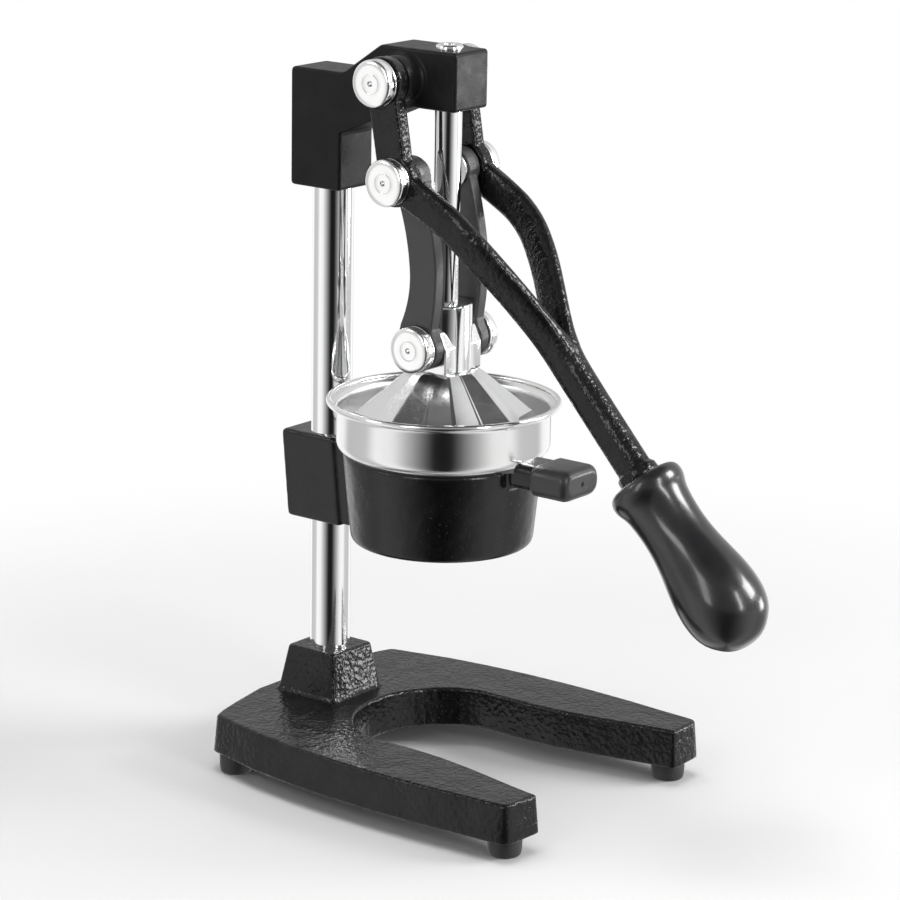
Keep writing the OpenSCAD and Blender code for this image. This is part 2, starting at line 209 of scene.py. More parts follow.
def spline(pts, per=6):
    """Catmull-Rom through the points"""
    P = [Vector(p) for p in pts]
    out = []
    for i in range(len(P) - 1):
        p0, p1, p2, p3 = P[max(i - 1, 0)], P[i], P[i + 1], P[min(i + 2, len(P) - 1)]
        for k in range(per):
            t = k / per
            out.append(0.5 * ((2 * p1) + (p2 - p0) * t + (2 * p0 - 5 * p1 + 4 * p2 - p3) * t * t + (3 * p1 - p0 - 3 * p2 + p3) * t ** 3))
    out.append(P[-1].copy())
    return out


def join(bms):
    bm = bmesh.new()
    for b in bms:
        me = bpy.data.meshes.new("t")
        b.to_mesh(me)
        b.free()
        bm.from_mesh(me)
        bpy.data.meshes.remove(me)
    return bm


def evaluated(me, mods, cutters=()):
    """the mesh after these modifiers, on a throwaway object"""
    ob = bpy.data.objects.new("tmp", me)
    SC.collection.objects.link(ob)
    tmp = []
    for kind, props in mods:
        m = ob.modifiers.new(kind, kind)
        for k, v in props.items():
            setattr(m, k, v)
    for c in cutters:
        cm = bpy.data.meshes.new("cut")
        c.to_mesh(cm)
        c.free()
        co = bpy.data.objects.new("cut", cm)
        SC.collection.objects.link(co)
        tmp.append(co)
        m = ob.modifiers.new("BOOLEAN", "BOOLEAN")
        m.operation, m.solver, m.object = "DIFFERENCE", "MANIFOLD", co
    dg = bpy.context.evaluated_depsgraph_get()
    dg.update()
    new = bpy.data.meshes.new_from_object(ob.evaluated_get(dg))
    for o in tmp + [ob]:
        d = o.data
        bpy.data.objects.remove(o)
        bpy.data.meshes.remove(d)
    return new


def cast(bms, voxel=0.8, smooth=8, cutters=(), factor=0.5):
    """fuses overlapping closed pieces into one casting with soft inner corners"""
    bm = join(bms)
    me = bpy.data.meshes.new("cast")
    bm.to_mesh(me)
    bm.free()
    me = evaluated(me, [("REMESH", {"mode": "VOXEL", "voxel_size": voxel * mm}), ("SMOOTH", {"factor": factor, "iterations": smooth})])
    if cutters:
        me = evaluated(me, [], cutters)
    return me


def piece(name, src, mat, body, nodes, angle=38):
    """makes the object from a bmesh, a list of them, or a mesh"""
    if isinstance(src, list):
        src = join(src)
    if isinstance(src, bmesh.types.BMesh):
        me = bpy.data.meshes.new(name)
        src.to_mesh(me)
        src.free()
    else:
        me = src
        me.name = name
    me.materials.clear()
    me.materials.append(mat)
    me.shade_smooth()
    if angle:
        me.set_sharp_from_angle(angle=math.radians(angle))
    ob = bpy.data.objects.new(name, me)
    SC.collection.objects.link(ob)
    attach(ob, body)
    if nodes:
        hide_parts(*nodes)
    return ob


def along_x(x, q, s=1):
    """matrix: the lathe's z axis points inwards along -X * s from x * s, centred on q = (y, z)"""
    return Matrix.Translation(dp(s * x, q[0], q[1])) @ Matrix.Rotation(math.radians(-90 * s), 4, "Y")


# ---------------------------------------------------------------- materials
def new_mat(name):
    m = bpy.data.materials.new(name)
    m.use_nodes = True
    nt = m.node_tree
    b = nt.nodes["Principled BSDF"]
    return m, nt, b


def tex(nt, kind, scale, detail=2.0, rough=0.5, vec=None, **kw):
    n = nt.nodes.new(kind)
    n.inputs["Scale"].default_value = scale
    if "Detail" in n.inputs:
        n.inputs["Detail"].default_value = detail
    if "Roughness" in n.inputs:
        n.inputs["Roughness"].default_value = rough
    for k, v in kw.items():
        if k in n.inputs:
            n.inputs[k].default_value = v
        else:
            setattr(n, k, v)
    if vec is not None:
        nt.links.new(vec, n.inputs["Vector"])
    return n


def ramp(nt, fac, stops, interp="LINEAR"):
    n = nt.nodes.new("ShaderNodeValToRGB")
    n.color_ramp.interpolation = interp
    el = n.color_ramp.elements
    el.remove(el[-1])
    for i, (p, c) in enumerate(stops):
        if i:
            e = el.new(p)
        else:
            e = el[0]
            e.position = p
        e.color = (c, c, c, 1) if isinstance(c, (int, float)) else (*c, 1)
    nt.links.new(fac, n.inputs["Fac"])
    return n


def mapped(nt, scale=(1, 1, 1), rot=(0, 0, 0), loc=(0, 0, 0)):
    tc = nt.nodes.new("ShaderNodeTexCoord")
    mp = nt.nodes.new("ShaderNodeMapping")
    mp.inputs["Scale"].default_value = scale
    mp.inputs["Rotation"].default_value = rot
    mp.inputs["Location"].default_value = loc
    nt.links.new(tc.outputs["Object"], mp.inputs["Vector"])
    return mp.outputs["Vector"]


def add_bump(nt, b, height, strength, dist, prev=None):
    n = nt.nodes.new("ShaderNodeBump")
    n.inputs["Strength"].default_value = strength
    n.inputs["Distance"].default_value = dist
    nt.links.new(height, n.inputs["Height"])
    if prev is not None:
        nt.links.new(prev.outputs["Normal"], n.inputs["Normal"])
    nt.links.new(n.outputs["Normal"], b.inputs["Normal"])
    return n


def math_node(nt, op, a, b_=None, clamp=False):
    n = nt.nodes.new("ShaderNodeMath")
    n.operation = op
    n.use_clamp = clamp
    for i, v in enumerate((a, b_)):
        if v is None:
            continue
        if isinstance(v, (int, float)):
            n.inputs[i].default_value = v
        else:
            nt.links.new(v, n.inputs[i])
    return n.outputs[0]


def enamel(name, cell=2.2, depth=0.5, rough=(0.2, 0.4), coat=0.0, col=(0.003, 0.003, 0.0033), hi=(0.009, 0.009, 0.0095), wear=0.35, fine=0.25, spec=0.4, swell_by=0.05, relief=0.0008, grit=0.0003, grain=700, soft=4):
    """black hammered enamel: rounded pits, orange peel, dust in random patches and rubbed edges"""
    m, nt, b = new_mat(name)
    v = mapped(nt)
    warp = tex(nt, "ShaderNodeTexNoise", 260, 2, vec=v)
    mixv = nt.nodes.new("ShaderNodeMix")
    mixv.data_type = "VECTOR"
    mixv.inputs["Factor"].default_value = 0.0022
    nt.links.new(v, mixv.inputs[4])
    nt.links.new(warp.outputs["Color"], mixv.inputs[5])
    vor = tex(nt, "ShaderNodeTexVoronoi", 1000 / cell, vec=mixv.outputs[1], feature="SMOOTH_F1")
    vor.inputs["Smoothness"].default_value = 0.6
    pits = ramp(nt, vor.outputs["Distance"], [(0.05, 0.0), (0.6, 1.0)], "EASE")
    # the hammering comes and goes over the surface
    patch = tex(nt, "ShaderNodeTexNoise", 42, 2, vec=v)
    pm = ramp(nt, patch.outputs["Fac"], [(0.36, 0.25), (0.6, 1.0)])
    hgt = math_node(nt, "MULTIPLY", pits.outputs["Color"], pm.outputs["Color"])
    bp = add_bump(nt, b, hgt, depth, relief)
    peel = tex(nt, "ShaderNodeTexNoise", grain, soft, 0.6, vec=v)
    bp2 = add_bump(nt, b, peel.outputs["Fac"], fine, grit, bp)
    swell = tex(nt, "ShaderNodeTexNoise", 90, 2, vec=v)
    add_bump(nt, b, swell.outputs["Fac"], swell_by, 0.0006, bp2)
    dirt = tex(nt, "ShaderNodeTexNoise", 60, 5, 0.65, vec=v)
    dr = ramp(nt, dirt.outputs["Fac"], [(0.35, 0.0), (0.75, 1.0)])
    mix = nt.nodes.new("ShaderNodeMix")
    mix.data_type = "RGBA"
    mix.inputs[6].default_value = (*col, 1)
    mix.inputs[7].default_value = (*hi, 1)
    nt.links.new(dr.outputs["Color"], mix.inputs[0])
    geo = nt.nodes.new("ShaderNodeNewGeometry")
    pr = ramp(nt, geo.outputs["Pointiness"], [(0.54, 0.0), (0.64, 1.0)])
    scr = tex(nt, "ShaderNodeTexNoise", 140, 4, 0.7, vec=v)
    sr = ramp(nt, scr.outputs["Fac"], [(0.47, 0.0), (0.62, 1.0)])
    wm = math_node(nt, "MULTIPLY", pr.outputs["Color"], sr.outputs["Color"])
    wm = math_node(nt, "MULTIPLY", wm, wear)
    mix2 = nt.nodes.new("ShaderNodeMix")
    mix2.data_type = "RGBA"
    mix2.inputs[7].default_value = (0.06, 0.06, 0.062, 1)
    nt.links.new(wm, mix2.inputs[0])
    nt.links.new(mix.outputs[2], mix2.inputs[6])
    nt.links.new(mix2.outputs[2], b.inputs["Base Color"])
    rr = nt.nodes.new("ShaderNodeMapRange")
    rr.inputs["From Min"].default_value, rr.inputs["From Max"].default_value = 0.3, 0.7
    rr.inputs["To Min"].default_value, rr.inputs["To Max"].default_value = rough
    nt.links.new(scr.outputs["Fac"], rr.inputs["Value"])
    nt.links.new(rr.outputs["Result"], b.inputs["Roughness"])
    b.inputs["Specular IOR Level"].default_value = spec
    b.inputs["Coat Weight"].default_value = coat
    b.inputs["Coat Roughness"].default_value = 0.08
    return m


def metal(name, col=(0.8, 0.81, 0.83), rough=(0.05, 0.13), brush=None, bump=0.05, aniso=0.0, tint=0.04, satin=None):
    """plated or polished steel with fine finishing marks, smears and a few scratches.
    brush: scale vector of the stretched finishing noise; satin: metres from the bowl axis within which it is duller"""
    m, nt, b = new_mat(name)
    v = mapped(nt)
    smear = tex(nt, "ShaderNodeTexNoise", 38, 4, 0.6, vec=v)
    rr = nt.nodes.new("ShaderNodeMapRange")
    rr.inputs["From Min"].default_value, rr.inputs["From Max"].default_value = 0.32, 0.72
    rr.inputs["To Min"].default_value, rr.inputs["To Max"].default_value = rough
    nt.links.new(smear.outputs["Fac"], rr.inputs["Value"])
    last = rr.outputs["Result"]
    vb = mapped(nt, scale=brush or (1, 1, 1))
    lines = tex(nt, "ShaderNodeTexNoise", 1.0 if brush else 1500, 3, 0.7, vec=vb)
    lm = math_node(nt, "MULTIPLY", lines.outputs["Fac"], 0.07)
    last = math_node(nt, "ADD", last, lm)
    if satin:
        off = mapped(nt, scale=(1, 1, 0), loc=(0, -0.05003, 0))
        ln = nt.nodes.new("ShaderNodeVectorMath")
        ln.operation = "LENGTH"
        nt.links.new(off, ln.inputs[0])
        within = math_node(nt, "LESS_THAN", ln.outputs["Value"], satin)
        last = math_node(nt, "ADD", last, math_node(nt, "MULTIPLY", within, 0.2))
    nt.links.new(last, b.inputs["Roughness"])
    bp = add_bump(nt, b, lines.outputs["Fac"], bump, 0.00004)
    scv = mapped(nt, scale=(1, 1, 1), rot=(0.5, 0.8, 0.3))
    sc = tex(nt, "ShaderNodeTexVoronoi", 55, vec=scv, feature="DISTANCE_TO_EDGE")
    sr = ramp(nt, sc.outputs["Distance"], [(0.0, 1.0), (0.006, 0.0)])
    add_bump(nt, b, sr.outputs["Color"], 0.02, 0.00002, bp)
    cr = nt.nodes.new("ShaderNodeMix")
    cr.data_type = "RGBA"
    cr.inputs[6].default_value = (*col, 1)
    cr.inputs[7].default_value = (*[c * (1 - tint * k) for c, k in zip(col, (1.0, 1.2, 1.7))], 1)
    nt.links.new(smear.outputs["Fac"], cr.inputs[0])
    nt.links.new(cr.outputs[2], b.inputs["Base Color"])
    b.inputs["Metallic"].default_value = 1.0
    b.inputs["Anisotropic"].default_value = aniso
    return m


def plastic(name, col=(0.006, 0.006, 0.0065), rough=(0.16, 0.26), grain=0.06, coat=0.0):
    m, nt, b = new_mat(name)
    v = mapped(nt)
    n1 = tex(nt, "ShaderNodeTexNoise", 1400, 3, 0.6, vec=v)
    bp = add_bump(nt, b, n1.outputs["Fac"], grain, 0.0001)
    n2 = tex(nt, "ShaderNodeTexNoise", 60, 4, 0.6, vec=v)
    add_bump(nt, b, n2.outputs["Fac"], 0.1, 0.0004, bp)
    rr = nt.nodes.new("ShaderNodeMapRange")
    rr.inputs["From Min"].default_value, rr.inputs["From Max"].default_value = 0.3, 0.7
    rr.inputs["To Min"].default_value, rr.inputs["To Max"].default_value = rough
    nt.links.new(n2.outputs["Fac"], rr.inputs["Value"])
    nt.links.new(rr.outputs["Result"], b.inputs["Roughness"])
    cr = nt.nodes.new("ShaderNodeMix")
    cr.data_type = "RGBA"
    cr.inputs[6].default_value = (*col, 1)
    cr.inputs[7].default_value = (*[c * 1.8 for c in col], 1)
    nt.links.new(n2.outputs["Fac"], cr.inputs[0])
    nt.links.new(cr.outputs[2], b.inputs["Base Color"])
    b.inputs["Coat Weight"].default_value = coat
    b.inputs["Coat Roughness"].default_value = 0.06
    return m


def rubber(name):
    m, nt, b = new_mat(name)
    v = mapped(nt)
    n1 = tex(nt, "ShaderNodeTexNoise", 1100, 4, 0.7, vec=v)
    add_bump(nt, b, n1.outputs["Fac"], 0.3, 0.00012)
    n2 = tex(nt, "ShaderNodeTexNoise", 80, 4, 0.6, vec=v)
    r = ramp(nt, n2.outputs["Fac"], [(0.3, (0.008, 0.008, 0.008)), (0.75, (0.028, 0.027, 0.026))])
    nt.links.new(r.outputs["Color"], b.inputs["Base Color"])
    rr = ramp(nt, n2.outputs["Fac"], [(0.3, 0.45), (0.7, 0.7)])
    nt.links.new(rr.outputs["Color"], b.inputs["Roughness"])
    return m


M_BASE = enamel("enamel_base", cell=1.8, depth=0.6, rough=(0.15, 0.25), spec=0.28, relief=0.0008, fine=0.9, grit=0.0006, grain=360, soft=0.8, swell_by=0.03)
M_HEAD = enamel("enamel_head", cell=3.2, depth=0.1, rough=(0.3, 0.42), fine=0.15, col=(0.004, 0.004, 0.0043), hi=(0.008, 0.008, 0.0083), spec=0.15)
M_ARM = enamel("enamel_lever", cell=1.7, depth=0.6, rough=(0.15, 0.25), spec=0.28, relief=0.0008, fine=0.9, grit=0.0006, grain=380, soft=0.8)
M_LINK = enamel("enamel_link", cell=2.6, depth=0.08, rough=(0.34, 0.48), fine=0.14, col=(0.028, 0.028, 0.029), hi=(0.036, 0.036, 0.037), spec=0.5)
M_RING = enamel("enamel_bracket", cell=2.4, depth=0.5, rough=(0.2, 0.3), fine=0.15, col=(0.0015, 0.0015, 0.0016), hi=(0.004, 0.004, 0.0042), spec=0.4)
M_CHROME = metal("chrome_bar", (0.86, 0.865, 0.875), (0.03, 0.08), brush=(900, 900, 60), bump=0.04)
M_BOLT = metal("chrome_bolt", (0.9, 0.9, 0.905), (0.1, 0.2), brush=(200, 1400, 1400), bump=0.1)
M_BOWL = metal("stainless_bowl", (0.78, 0.785, 0.79), (0.1, 0.17), brush=(90, 90, 2600), bump=0.1, satin=0.0587)
M_CONE = metal("stainless_cone", (0.74, 0.745, 0.755), (0.14, 0.26), brush=(260, 260, 900), bump=0.12)
M_HUB = metal("stainless_hub", (0.84, 0.845, 0.855), (0.07, 0.14), brush=(500, 500, 1800), bump=0.07)
M_ZINC = metal("zinc_fastener", (0.6, 0.61, 0.63), (0.22, 0.36), brush=(900, 900, 900), bump=0.12, tint=0.1)
M_GRIP = plastic("grip_plastic", rough=(0.2, 0.3), grain=0.05, coat=0.25)
M_KNOB = plastic("knob_plastic", col=(0.012, 0.012, 0.0125), rough=(0.28, 0.4), grain=0.12)
M_RUBBER = rubber("foot_rubber")


# ---------------------------------------------------------------- shapes
P1, P2, P4 = (19, 395.1), (9.6, 342.6), (0, 250.2)
POST_Y, FOOT_H, SLAB_Z, PED_Z = 80, 11.1, 32.8, 59.5
ARM_X, ARM_XO, LINK_X, LINK_XO = 27, 36.5, 16.5, 24
CONE_TOP, CONE_FOOT, RING_TOP, RING_LOW = 235, 210.4, 187.8, 137.6
GRIP = Vector((-133.5, 195))
SLOPE = math.radians(47)
GDIR = Vector((-math.cos(SLOPE), -math.sin(SLOPE)))
FEET = [(77, -105), (-77, -105), (73, 87.5), (-73, 87.5)]
UPZ = Matrix.Identity(4)


def cyl(r, a, b, m=UPZ, segs=64):
    """closed cylinder for cutting, from a to b along the lathe axis"""
    return lathe([(0, a), (r, a), (r, b), (0, b)], segs, m)


def fuse(bms, cutters=()):
    """boolean union of closed pieces, then the cutters are taken away"""
    first, rest = bms[0], bms[1:]
    me = bpy.data.meshes.new("fuse")
    first.to_mesh(me)
    first.free()
    for r in rest:
        ob = bpy.data.objects.new("a", me)
        SC.collection.objects.link(ob)
        m2 = bpy.data.meshes.new("b")
        r.to_mesh(m2)
        r.free()
        o2 = bpy.data.objects.new("b", m2)
        SC.collection.objects.link(o2)
        m = ob.modifiers.new("u", "BOOLEAN")
        m.operation, m.solver, m.object = "UNION", "MANIFOLD", o2
        dg = bpy.context.evaluated_depsgraph_get()
        dg.update()
        new = bpy.data.meshes.new_from_object(ob.evaluated_get(dg))
        for o in (ob, o2):
            d = o.data
            bpy.data.objects.remove(o)
            bpy.data.meshes.remove(d)
        me = new
    return evaluated(me, [], cutters) if cutters else me


def mirror_x(bm):
    bmesh.ops.transform(bm, matrix=Matrix.Scale(-1, 4, (1, 0, 0)), verts=bm.verts)
    bmesh.ops.reverse_faces(bm, faces=bm.faces)
    return bm


def xlathe(q, profile, s=1, segs=72):
    """profile of (r, x) turned round the X axis through q = (y, z); s = -1 is the left side"""
    bm = lathe(profile, segs)
    bmesh.ops.transform(bm, matrix=Matrix.Translation(dp(0, q[0], q[1])) @ Matrix.Rotation(math.pi / 2, 4, "Y"), verts=bm.verts)
    return mirror_x(bm) if s < 0 else bm


def rounded_rect(a, b, r, n=5):
    return fillet([(a, b), (-a, b), (-a, -b), (a, -b)], r, n)


# ---- base: horseshoe slab with draft, pedestal with soft arrises
def make_base():
    outer = [(28, 111.8), (54, 106.4), (70, 102.6), (80.9, 98.7), (86, 77), (90, 60), (93.6, 34), (95.8, 8),
             (96.6, -20), (96.5, -40), (95.4, -66), (93.4, -92), (91.9, -117.1), (63.4, -118.4)]
    ro = [18, 18, 18, 7.5, 18, 18, 24, 24, 24, 24, 24, 24, 7.5, 5.2]
    mouth = [(49.5 * math.cos(math.radians(a)), 44 * math.sin(math.radians(a))) for a in range(82, 9, -8)]
    legs = [(48.8, -6), (48.6, -24), (49.8, -44), (52.6, -62), (56.2, -80), (60, -98), (62.6, -112)]
    inner = mouth + legs
    ri = [6] * len(mouth) + [16] * len(legs)
    right = outer + inner[::-1]
    rr = ro + ri[::-1]
    whole = right + [(-x, y) for x, y in right[::-1]]
    pts = [Vector((p.x, p.y)) for p in fillet([(x, y, 0) for x, y in whole], rr + rr[::-1], 4)]
    if area2(pts) < 0:
        pts.reverse()
    rows = [(1.2, FOOT_H), (0.5, FOOT_H + 0.15), (0.1, FOOT_H + 0.6), (0.02, FOOT_H + 1.2), (0.1, FOOT_H + 2), (1.55, SLAB_Z - 3.2)]
    R = 1.9
    for k in range(6):
        t = k * math.pi / 10
        rows.append((1.65 + R * (1 - math.cos(t)), SLAB_Z - R + R * math.sin(t)))
    rows.append((1.65 + R + 0.3, SLAB_Z))
    loops = [[dp(p.x, p.y, z) for p in inset(pts, i)] for i, z in rows]
    slab = loft([[dp(p.x, p.y, FOOT_H) for p in inset(pts, 1.7)]] + loops)
    ped = []
    h = PED_Z - SLAB_Z
    for e, z in [(2.6, SLAB_Z - 1.2), (1.5, SLAB_Z - 0.1), (0.6, SLAB_Z + 0.8), (0.15, SLAB_Z + 2.0), (0.0, SLAB_Z + 3.4), (0.0, PED_Z - 3.2)]:
        f = max(0, (z - SLAB_Z) / h)
        ped.append((21.4 - 4.05 * f + e, 21.2 - 4.35 * f + e, z))
    R = 1.6
    for k in range(6):
        t = k * math.pi / 10
        z = PED_Z - R + R * math.sin(t)
        f = (PED_Z - R - SLAB_Z) / h
        ped.append((21.4 - 4.05 * f - R * (1 - math.cos(t)), 21.2 - 4.35 * f - R * (1 - math.cos(t)), z))
    ped.append((ped[-1][0] - 0.5, ped[-1][1] - 0.5, PED_Z))
    pl = loft([[dp(p.x, p.y + POST_Y, z) for p in rounded_rect(a, b, 2.4)] for a, b, z in ped])
    up = Matrix.Translation(dp(0, POST_Y, 0))
    cuts = [cyl(11.55, FOOT_H + 15, 90, up, 96), join([cyl(6.4, 5, FOOT_H + 20, up)]), cyl(13, 5, FOOT_H + 8.9, up, 96)]
    cuts += [cyl(2.4, 5, FOOT_H + 12, Matrix.Translation(dp(x, y, 0)), 24) for x, y in FEET]
    return fuse([slab, pl], cuts)


piece("horseshoe_base", make_base(), M_BASE, "frame", ["base_casting"], 35)

feet = []
for x, y in FEET:
    feet.append(lathe([(2.5, 4.2), (2.5, 10.3), (3, 11.1), (8.6, 11.1), (9.2, 10.7), (9.5, 10), (9.45, 5), (9.25, 2.4), (8.95, 1.1), (8.5, 0.4), (7.8, 0.05), (7.2, 0),
                       (5.8, 0), (5.2, 0.25), (5, 0.8), (5, 4.2)], 72, Matrix.Translation(dp(x, y, 0)), ring=True))
piece("rubber_feet_turned", feet, M_RUBBER, "frame", ["rubber_feet"], 45)

# ---- post, rod
piece("post_bar", lathe([(6.05, FOOT_H + 15.2), (10.3, FOOT_H + 15.2), (11.2, FOOT_H + 15.6), (11.5, FOOT_H + 16.4), (11.5, FOOT_H + 18), (11.5, 380.5), (11.5, 381.8), (11.2, 382.7), (10.4, 383),
                         (9.8, 383), (0, 383), (0, FOOT_H + 45.9), (6.05, FOOT_H + 45.9)], 128, Matrix.Translation(dp(0, POST_Y, 0)), ring=True),
      M_CHROME, "frame", ["main_post"], 40)
piece("rod_bar", lathe([(0, 222.6), (4.2, 222.6), (4.8, 222.9), (5, 223.5), (5, CONE_TOP + 8.2), (6.8, CONE_TOP + 8.2), (7.3, CONE_TOP + 8.4), (7.5, CONE_TOP + 9), (7.5, CONE_TOP + 10.5), (7.5, 411.2), (7.5, 412.4),
                        (7.35, 413), (7.0, 413.55), (6.4, 413.9), (5.6, 414), (4.4, 414), (3.8, 413.8), (3.45, 413.2), (3.4, 412.4), (3.3, 410.2), (2.9, 409.5), (0, 409.0)], 96, Matrix.Translation(dp(0, 0, 0))),
      M_CHROME, "carriage", ["guide_rod"], 40)


# ---- head
def make_head():
    o = [(99.2, 327.2), (64, 327.2), (64, 359.5), (18, 379.5), (-15.4, 379.5), (-15.4, 411.5), (36, 411.5), (62.5, 393.4), (99.2, 393.4)]
    r = [2.6, 2.2, 2.6, 5, 2.2, 2.4, 6, 10, 3.2]
    pts = fillet([(y, z, 0) for y, z in o], r, 6)
    body = plate([(p.x, p.y) for p in pts], -14.5, 14.5, 1.5, 5, "x")
    boss = []
    for s in (-1, 1):
        boss.append(xlathe(P1, [(0, 8), (16.2, 8), (16.2, 14.3), (14.6, 14.9), (13.6, 15.7), (13.1, 17), (13, 18.6), (13, 25.2), (12.7, 26.1), (12, 26.55), (11.2, 26.6), (0, 26.6)], s, 96))
    cuts = [cyl(7.55, 300, 450, Matrix.Translation(dp(0, 0, 0)), 96), cyl(11.55, 300, 383.5, Matrix.Translation(dp(0, POST_Y, 0)), 96)]
    cuts += [xlathe(P1, [(0, 9), (5.05, 9), (5.05, 40), (0, 40)], s) for s in (-1, 1)]
    cuts.append(cyl(4, 0, 24, Matrix.Translation(dp(0, 86, 350)) @ Matrix.Rotation(math.radians(-90), 4, "X"), 48))
    return fuse([body] + boss, cuts)


piece("head_block", make_head(), M_HEAD, "frame", ["head_casting"], 32)


# ---- pivot bolts with turned faces
def bolt(q, xo, xi, r, s, collar=None):
    hr, t = 12.8, 7.8
    L = xo - xi
    prof = [(0, 1.9), (0.7, 1.7), (1.1, 1.1), (1.3, 0.35), (1.7, 0.03), (4.9, 0.0), (5.15, 0.05), (5.35, 0.12), (5.55, 0.05), (5.8, 0.0),
            (9.6, 0.0), (9.9, 0.03), (hr - 1.5, 0.3), (hr - 0.7, 0.6), (hr - 0.2, 1.1), (hr, 1.8),
            (hr, t - 2.2), (hr - 0.06, t - 2.0), (hr - 0.25, t - 1.85), (hr - 0.25, t - 1.65), (hr - 0.06, t - 1.5), (hr, t - 1.3), (hr, t - 0.6), (hr - 0.2, t - 0.2), (hr - 0.7, t), (r + 0.2, t), (r, t + 0.2),
            (r, L - 0.8), (r - 0.8, L), (0, L)]
    out = [xlathe(q, [(a, xo - b) for a, b in prof], s, 96)]
    if collar:
        ro, ri, a, b = collar
        out.append(ring_x(q, ro, ri, a, b, s))
    return out


def ring_x(q, ro, ri, a, b, s=1, c=0.25):
    bm = lathe([(ri, a + c), (ri + c, a), (ro - c, a), (ro, a + c), (ro, b - c), (ro - c, b), (ri + c, b), (ri, b - c)], 72, ring=True)
    bmesh.ops.transform(bm, matrix=Matrix.Translation(dp(0, q[0], q[1])) @ Matrix.Rotation(math.pi / 2, 4, "Y"), verts=bm.verts)
    return mirror_x(bm) if s < 0 else bm


for s, side in ((-1, "left"), (1, "right")):
    piece("upper_bolt_" + side, bolt(P1, ARM_XO + 7.9, 10, 5, s, (6.5, 4.9, 26.6, ARM_XO + 0.5)), M_BOLT, "frame", ["upper_pivot_bolt_" + side], 30)
    piece("middle_bolt_" + side, bolt(P2, ARM_XO + 7.9, ARM_X + 0.1, 6, s), M_BOLT, "lever", ["middle_pivot_bolt_" + side], 30)
    piece("lower_bolt_" + side, bolt(P4, LINK_XO + 8.8, 9.3, 4, s, (5, 3.9, 16.1, LINK_XO + 1.4)), M_BOLT, "carriage", ["lower_pivot_bolt_" + side], 30)


# ---- links
def link_outline():
    a, b = Vector(P4), Vector(P2)
    d = (b - a).normalized()
    L = (b - a).length
    nrm = Vector((d.y, -d.x))
    up, low = [], []
    ra, rb_ = 12.6, 12.0
    k = 0
    s = -ra
    samples = sorted(set([-ra * math.cos(math.radians(t)) for t in range(0, 91, 10)] + [L + rb_ * math.cos(math.radians(t)) for t in range(0, 91, 10)] + [L * i / 28 for i in range(29)]))
    for s in samples:
        t = min(max(s / L, 0), 1)
        off = -6.8 * 4 * t * (1 - t)
        fl = max(0, 1 - t / 0.46)
        wide = 9.2 + 1.4 * max(0, 2 * t - 1) ** 2
        c = 0
        if abs(s) < ra:
            c = math.sqrt(max(ra * ra - s * s, 0))
        if abs(s - L) < rb_:
            c = max(c, math.sqrt(max(rb_ * rb_ - (s - L) ** 2, 0)))
        hi, lo = c, -c
        if 0 <= s <= L:
            hi = max(min(12.4, off + wide + 11.2 * fl ** 2), c)
            lo = min(off - wide + 2.6 * fl, -c)
        q = a + d * s
        up.append(q + nrm * hi)
        if s not in (samples[0], samples[-1]):
            low.append(q + nrm * lo)
    return [(p.x, p.y) for p in up + low[::-1]]


for s, side in ((-1, "left"), (1, "right")):
    out = fillet([(y, z, 0) for y, z in link_outline()], 3.0, 2)
    pl = plate([(p.x, p.y) for p in out], LINK_X, LINK_XO, 1.1, 4, "x")
    if s < 0:
        mirror_x(pl)
    boss = xlathe(P2, [(0, LINK_X + 1), (11.9, LINK_X + 1), (11.9, 25.4), (11.6, 26.2), (10.9, 26.5), (0, 26.5)], s, 72)
    cuts = [xlathe(q, [(0, 10), (5.05, 10), (5.05, 40), (0, 40)], s) for q in (P4, P2)]
    piece("bowed_link_" + side, fuse([pl, boss], cuts), M_LINK, "link_" + side, ["press_link_" + side], 32)


